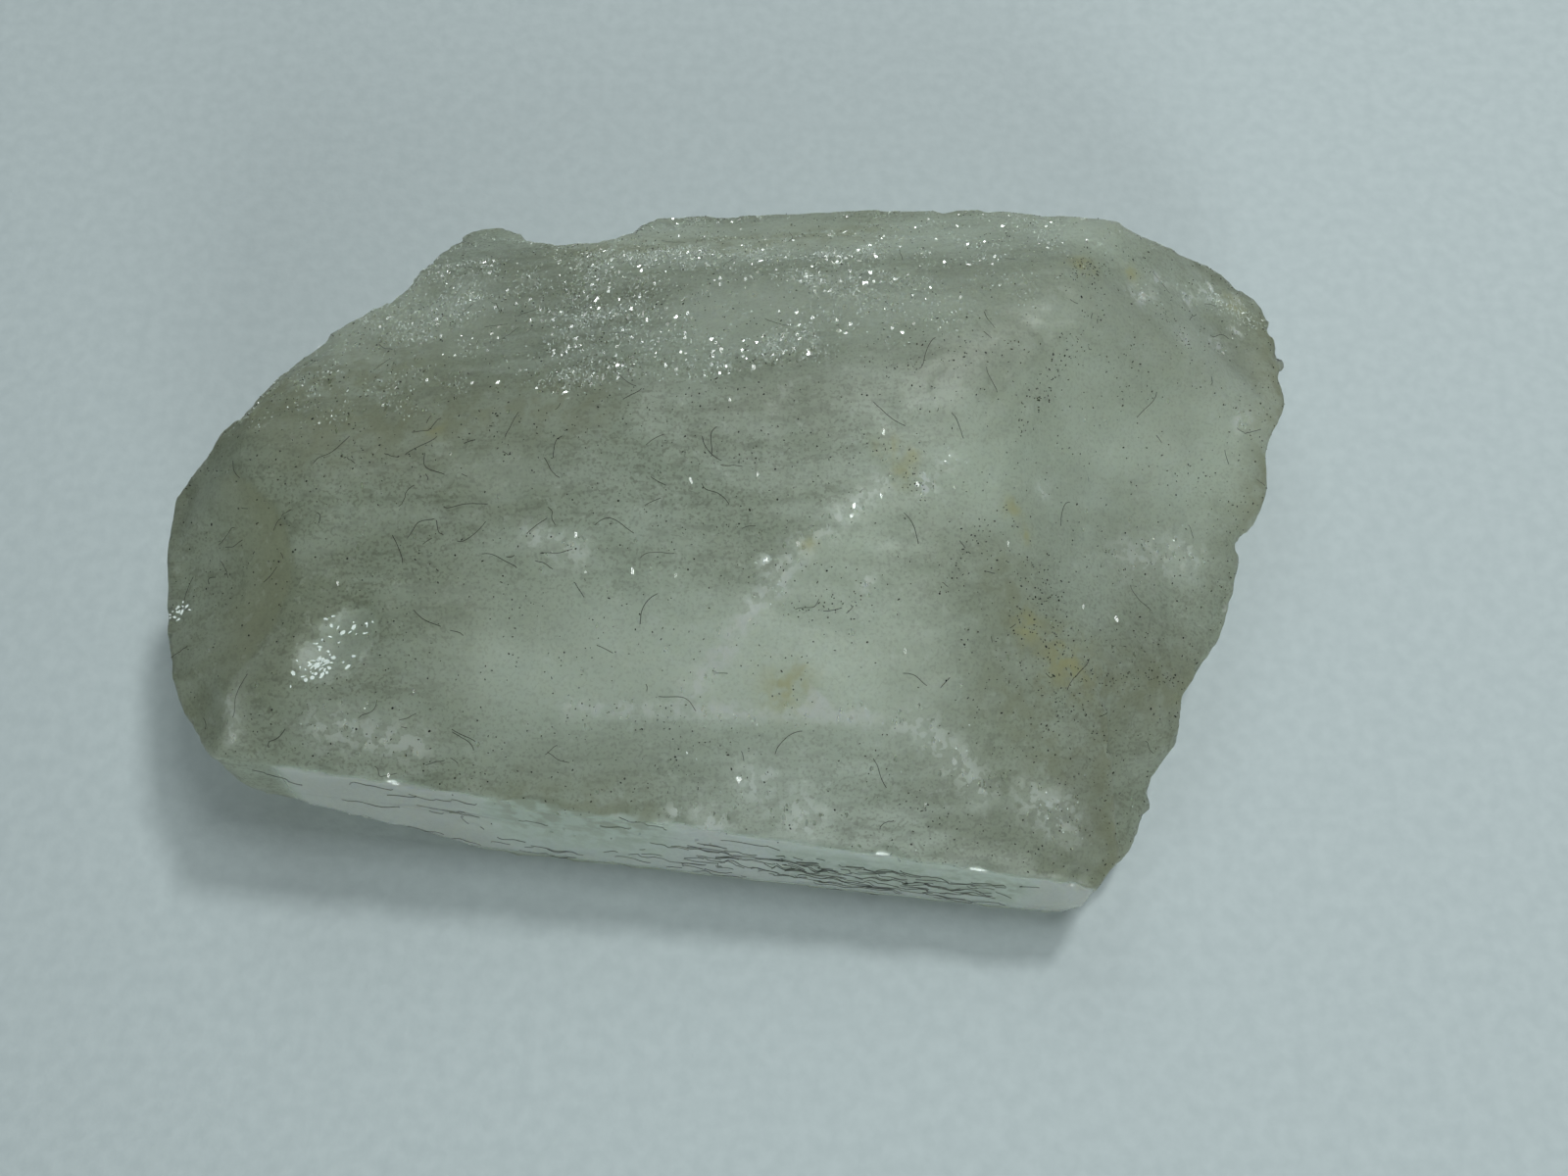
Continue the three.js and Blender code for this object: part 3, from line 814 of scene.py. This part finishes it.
# small facets grown on the crystal, cracks in it, and grains and fibres that have settled on it:
# each is strewn over the crystal's faces, as densely as its mask says
facetPiece = {
    "piece": "etchFacets", "mask": "glitter", "density": 38e6, "seed": 3,
    "least": (0.04, 0.022, 0.07), "most": (0.15, 0.065, 0.2), "along": (0.1, -1, 0), "tilt": (0.3, 0.3, 0.5),
    # all face one way, more or less, as the facets of a single crystal do
    "facing": crystal["etchFacing"], "sides": 5, "top": 0.7, "sunk": 0.75,
    "colour": (0.93, 1, 0.97, 1), "roughness": 0.16, "transmission": 0.3, "ior": 1.544,
}
leftGlints = {
    "piece": "leftGlints", "mask": "leftGlitter", "density": 26e6, "seed": 13,
    "least": (0.07, 0.05, 0.08), "most": (0.4, 0.26, 0.24), "along": (0.7, 0.7, 0), "tilt": (0.08, 0.08, 0.8),
    "facing": (0.335, -0.03, 0.94), "sides": 5, "top": 0.75, "sunk": 0.5,
}
grit = {
    "piece": "grit", "mask": "grit", "density": 6.4e6, "seed": 5,
    "least": (0.04, 0.032, 0.03), "most": (0.17, 0.1, 0.1), "along": (1, 0, 0), "tilt": (3.1, 3.1, 3.1),
    "colour": (0.012, 0.012, 0.01, 1), "paleColour": (0.06, 0.06, 0.045, 1), "roughness": 0.8,
}
lint = {
    "piece": "lint", "mask": "lint", "density": 1.3e5, "seed": 21, "shortest": 0.4, "longest": 2.4,
    "thickness": 0.023, "curl": 0.6, "curlSize": 2.2, "points": 18, "sides": 4,
    "along": (1, 0, 0), "tilt": (0, 0, 1.3),
    "colour": (0.015, 0.014, 0.012, 1), "paleColour": (0.08, 0.075, 0.06, 1), "roughness": 0.8,
}
cracks = {
    "piece": "sideCracks", "mask": "crackShare", "density": 1.5e6, "seed": 8, "shortest": 0.2, "longest": 4.4,
    "thickness": 0.034, "curl": 0.4, "curlSize": 0.9, "points": 12, "sides": 4,
    "along": (1, -0.1, -0.12), "tilt": (0, 0, 0.16),
    "colour": (0.014, 0.016, 0.012, 1), "paleColour": (0.06, 0.065, 0.05, 1), "roughness": 0.5,
}
# where the dark grains, fibres and cracks are paler
specklePattern = {"Scale": 420.0, "Detail": 2.0, "Low": 0.4, "High": 0.7}


def newNodesModifier(piece, name, inputs):
    # a Geometry Nodes tree with named inputs, put on the piece with their values
    tree = bpy.data.node_groups.new(name, "GeometryNodeTree")
    tree.interface.new_socket("Geometry", in_out="INPUT", socket_type="NodeSocketGeometry")
    sockets = {}
    for label, (kind, _) in inputs.items():
        sockets[label] = tree.interface.new_socket(label, in_out="INPUT", socket_type=kind)
    tree.interface.new_socket("Geometry", in_out="OUTPUT", socket_type="NodeSocketGeometry")
    modifier = piece.modifiers.new(name, "NODES")
    modifier.node_group = tree
    for label, (_, value) in inputs.items():
        modifier[sockets[label].identifier] = value
    return tree, addNode(tree, "NodeGroupInput").outputs, addNode(tree, "NodeGroupOutput").inputs


def randomNode(tree, kind, low, high, seed):
    node = addNode(tree, "FunctionNodeRandomValue", data_type=kind)
    wire(tree, node.inputs["Min"], low)
    wire(tree, node.inputs["Max"], high)
    wire(tree, node.inputs["Seed"], seed)
    return node.outputs["Value"]


def strewPoints(tree, given, spec):
    # random points on the faces, each turned along one direction, more or less, and lying on its
    # face or facing the way that is given
    density = addNode(tree, "GeometryNodeInputNamedAttribute", data_type="FLOAT")
    density.inputs["Name"].default_value = spec["mask"]
    strewn = addNode(tree, "GeometryNodeDistributePointsOnFaces")
    tree.links.new(given["Geometry"], strewn.inputs["Mesh"])
    tree.links.new(mathNode(tree, "MULTIPLY", density.outputs["Attribute"], given["Density"]),
                   strewn.inputs["Density"])
    wire(tree, strewn.inputs["Seed"], spec["seed"])
    along = addNode(tree, "FunctionNodeAlignRotationToVector", axis="X")
    along.inputs["Vector"].default_value = spec["along"]
    flat = addNode(tree, "FunctionNodeAlignRotationToVector", axis="Z", pivot_axis="X")
    tree.links.new(along.outputs["Rotation"], flat.inputs["Rotation"])
    wire(tree, flat.inputs["Vector"], spec.get("facing", strewn.outputs["Normal"]))
    tilt = np.array(spec["tilt"])
    spin = addNode(tree, "FunctionNodeEulerToRotation")
    tree.links.new(randomNode(tree, "FLOAT_VECTOR", tuple(-tilt), tuple(tilt), spec["seed"] + 1),
                   spin.inputs["Euler"])
    turned = addNode(tree, "FunctionNodeRotateRotation", rotation_space="LOCAL")
    tree.links.new(flat.outputs["Rotation"], turned.inputs["Rotation"])
    tree.links.new(spin.outputs["Rotation"], turned.inputs["Rotate By"])
    return strewn.outputs["Points"], turned.outputs["Rotation"]


def placeInstances(tree, points, rotation, instance, scale):
    instances = addNode(tree, "GeometryNodeInstanceOnPoints")
    tree.links.new(points, instances.inputs["Points"])
    tree.links.new(rotation, instances.inputs["Rotation"])
    tree.links.new(instance, instances.inputs["Instance"])
    tree.links.new(scale, instances.inputs["Scale"])
    return instances.outputs["Instances"]


def finishTree(tree, given, out, geometry):
    real = addNode(tree, "GeometryNodeRealizeInstances")
    tree.links.new(geometry, real.inputs["Geometry"])
    painted = addNode(tree, "GeometryNodeSetMaterial")
    tree.links.new(real.outputs["Geometry"], painted.inputs["Geometry"])
    tree.links.new(given["Material"], painted.inputs["Material"])
    tree.links.new(painted.outputs["Geometry"], out["Geometry"])


def makeSpeckled(name, spec):
    material, tree, shader, _ = newMaterial(name)
    patches = useGroup(tree, mottle, Vector=objectPlace(tree), **specklePattern)["Mask"]
    wire(tree, shader["Base Color"], mixColour(tree, patches, spec["colour"], spec["paleColour"]))
    shader["Roughness"].default_value = spec["roughness"]
    return material


def makeFacetQuartz():
    material, tree, shader, _ = newMaterial("facetQuartz")
    shader["Base Color"].default_value = facetPiece["colour"]
    shader["Roughness"].default_value = facetPiece["roughness"]
    shader["Transmission Weight"].default_value = facetPiece["transmission"]
    shader["IOR"].default_value = facetPiece["ior"]
    return material


def baseFor(name, host):
    # an object with a copy of the crystal's mesh, for a tree to strew its pieces on
    piece = bpy.data.objects.new(name, host.data.copy())
    scene.collection.objects.link(piece)
    return piece


def keepRiding(piece):
    for polygon in piece.data.polygons:
        polygon.use_smooth = False
    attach(piece, crystal["body"])
    print(piece.name + ":", len(piece.data.polygons), "faces")


def makeGrain(tree, spec):
    # a flat-topped stub with a few sides where they are given, or else a lump with twenty faces
    if "sides" not in spec:
        lump = addNode(tree, "GeometryNodeMeshIcoSphere")
        lump.inputs["Radius"].default_value = 1.0
        lump.inputs["Subdivisions"].default_value = 1
        return lump.outputs["Mesh"]
    stub = addNode(tree, "GeometryNodeMeshCone")
    for name, value in (("Vertices", spec["sides"]), ("Radius Top", spec["top"]), ("Radius Bottom", 1.0),
                        ("Depth", 1.0)):
        stub.inputs[name].default_value = value
    lowered = addNode(tree, "GeometryNodeTransform")
    tree.links.new(stub.outputs["Mesh"], lowered.inputs["Geometry"])
    lowered.inputs["Translation"].default_value = (0, 0, -spec["sunk"])
    return lowered.outputs["Geometry"]


def strewGrains(host, spec, material):
    # faceted grains sunk partly in the surface
    piece = baseFor(spec["piece"], host)
    tree, given, out = newNodesModifier(piece, spec["piece"] + "Tree", {
        "Density": ("NodeSocketFloat", spec["density"]),
        "Least Size": ("NodeSocketVector", [value * mm for value in spec["least"]]),
        "Most Size": ("NodeSocketVector", [value * mm for value in spec["most"]]),
        "Material": ("NodeSocketMaterial", material),
    })
    points, rotation = strewPoints(tree, given, spec)
    grain = makeGrain(tree, spec)
    # the product of two random shares, so that most are small
    shares = [randomNode(tree, "FLOAT_VECTOR", (0, 0, 0), (1, 1, 1), spec["seed"] + offset)
              for offset in (2, 3)]
    size = mixNode(tree, "VECTOR", vectorNode(tree, "MULTIPLY", *shares), given["Least Size"],
                   given["Most Size"], factor_mode="NON_UNIFORM")
    finishTree(tree, given, out, placeInstances(tree, points, rotation, grain, size))
    keepRiding(applied(piece))


def strewStrands(host, spec, material):
    # thin strands, curled by noise and laid back on the surface
    piece = baseFor(spec["piece"], host)
    tree, given, out = newNodesModifier(piece, spec["piece"] + "Tree", {
        "Density": ("NodeSocketFloat", spec["density"]),
        "Thickness": ("NodeSocketFloat", spec["thickness"] * mm),
        "Curl": ("NodeSocketFloat", spec["curl"] * mm),
        "Curl Size": ("NodeSocketFloat", spec["curlSize"] * mm),
        "Material": ("NodeSocketMaterial", material),
    })
    points, rotation = strewPoints(tree, given, spec)
    strand = addNode(tree, "GeometryNodeCurvePrimitiveLine")
    strand.inputs["Start"].default_value = (-0.5, 0, 0)
    strand.inputs["End"].default_value = (0.5, 0, 0)
    cut = addNode(tree, "GeometryNodeResampleCurve")
    cut.inputs["Count"].default_value = spec["points"]
    tree.links.new(strand.outputs["Curve"], cut.inputs["Curve"])
    length = randomNode(tree, "FLOAT", spec["shortest"] * mm, spec["longest"] * mm, spec["seed"] + 2)
    real = addNode(tree, "GeometryNodeRealizeInstances")
    tree.links.new(placeInstances(tree, points, rotation, cut.outputs["Curve"], length),
                   real.inputs["Geometry"])
    swirl = addNode(tree, "ShaderNodeTexNoise")
    tree.links.new(addNode(tree, "GeometryNodeInputPosition").outputs["Position"], swirl.inputs["Vector"])
    tree.links.new(mathNode(tree, "DIVIDE", 1.0, given["Curl Size"]), swirl.inputs["Scale"])
    swirl.inputs["Detail"].default_value = 0.0
    centred = vectorNode(tree, "SUBTRACT", swirl.outputs["Color"], (0.5, 0.5, 0.5))
    reach = mathNode(tree, "MULTIPLY", given["Curl"], 4.0)    # as the noise keeps near its middle
    curled = addNode(tree, "GeometryNodeSetPosition")
    tree.links.new(real.outputs["Geometry"], curled.inputs["Geometry"])
    tree.links.new(vectorNode(tree, "SCALE", centred, reach), curled.inputs["Offset"])
    nearest = addNode(tree, "GeometryNodeProximity", target_element="FACES")
    tree.links.new(given["Geometry"], nearest.inputs["Geometry"])
    laid = addNode(tree, "GeometryNodeSetPosition")
    tree.links.new(curled.outputs["Geometry"], laid.inputs["Geometry"])
    tree.links.new(nearest.outputs["Position"], laid.inputs["Position"])
    section = addNode(tree, "GeometryNodeCurvePrimitiveCircle")
    section.inputs["Resolution"].default_value = spec["sides"]
    tree.links.new(given["Thickness"], section.inputs["Radius"])
    tube = addNode(tree, "GeometryNodeCurveToMesh")
    tree.links.new(laid.outputs["Geometry"], tube.inputs["Curve"])
    tree.links.new(section.outputs["Curve"], tube.inputs["Profile Curve"])
    tube.inputs["Fill Caps"].default_value = True
    finishTree(tree, given, out, tube.outputs["Mesh"])
    keepRiding(applied(piece))


studio = {
    "target": (1.8, -6.2, 10),
    "tilt": 22,                      # how far the camera leans back from straight down, in degrees
    "distance": 103,
    "lens": 33.75,
    "sensor": 36,
    "nearest": 5,                    # the camera sees nothing closer than this
    "floorSize": 3000,
    "paper": (0.44, 0.49, 0.51, 1),
    "paleFibres": (0.49, 0.54, 0.56, 1),
    "fibrePattern": {"Scale": 900.0, "Detail": 6.0, "Low": 0.2, "High": 0.8},
    "fibreStrength": 0.2,
    "paperRoughness": 0.85,
    "surround": (0.76, 0.86, 0.87, 1),
    "surroundStrength": 0.1,
    "lampTarget": (0, 0, 8),
    # name, where it hangs, its size, its power in watts and its colour
    "lamps": [
        ("softbox", (110, 40, 380), 110, 0.4, (0.93, 1, 0.98)),
        ("frontPanel", (60, -340, 110), 160, 0.68, (0.9, 1, 0.98)),
        ("skyPanel", (-100, 340, 380), 300, 0.44, (0.88, 1, 0.98)),
        ("spark", (120, 150, 350), 60, 0.62, (0.95, 1, 0.98)),
    ],
}


def makeFloor():
    side = studio["floorSize"] * mm
    mesh = bpy.data.meshes.new("floor")
    corners = [(x * side / 2, y * side / 2, 0) for x, y in ((-1, -1), (1, -1), (1, 1), (-1, 1))]
    mesh.from_pydata(corners, [], [(0, 1, 2, 3)])
    floor = bpy.data.objects.new("floor", mesh)
    scene.collection.objects.link(floor)
    material, tree, shader, _ = newMaterial("palePaper")
    fibres = useGroup(tree, mottle, Vector=objectPlace(tree), **studio["fibrePattern"])["Mask"]
    wire(tree, shader["Base Color"], mixColour(tree, fibres, studio["paper"], studio["paleFibres"]))
    wire(tree, shader["Normal"], bumpNode(tree, fibres, studio["fibreStrength"]))
    shader["Roughness"].default_value = studio["paperRoughness"]
    mesh.materials.append(material)


def aim(thing, spot, target):
    thing.location = Vector(spot) * mm
    away = thing.location - Vector(target) * mm
    thing.rotation_euler = away.to_track_quat("Z", "Y").to_euler()


def makeLights():
    for name, spot, size, power, colour in studio["lamps"]:
        lamp = bpy.data.lights.new(name, "AREA")
        lamp.shape = "DISK"
        lamp.size = size * mm
        lamp.energy = power
        lamp.color = colour
        holder = bpy.data.objects.new(name, lamp)
        scene.collection.objects.link(holder)
        aim(holder, spot, studio["lampTarget"])
    world = bpy.data.worlds.new("studio")
    world.use_nodes = True
    background = world.node_tree.nodes["Background"].inputs
    background["Color"].default_value = studio["surround"]
    background["Strength"].default_value = studio["surroundStrength"]
    scene.world = world
    scene.view_settings.view_transform = "Standard"


def makeCamera():
    tilt = math.radians(studio["tilt"])
    target = Vector(studio["target"])
    lens = bpy.data.cameras.new("camera")
    lens.sensor_width = studio["sensor"]
    lens.lens = studio["lens"]
    lens.clip_start = studio["nearest"] * mm
    camera = bpy.data.objects.new("camera", lens)
    scene.collection.objects.link(camera)
    spot = target + studio["distance"] * Vector((0, -math.sin(tilt), math.cos(tilt)))
    aim(camera, spot, target)
    scene.camera = camera


makeCamera()
makeFloor()
makeLights()
print("stage: camera, floor and lights")
stone = makeCrystal()
facetQuartz = makeFacetQuartz()
strewGrains(stone, facetPiece, facetQuartz)
strewGrains(stone, leftGlints, facetQuartz)
strewGrains(stone, grit, makeSpeckled("darkGrit", grit))
strewStrands(stone, lint, makeSpeckled("darkLint", lint))
strewStrands(stone, cracks, makeSpeckled("darkCracks", cracks))
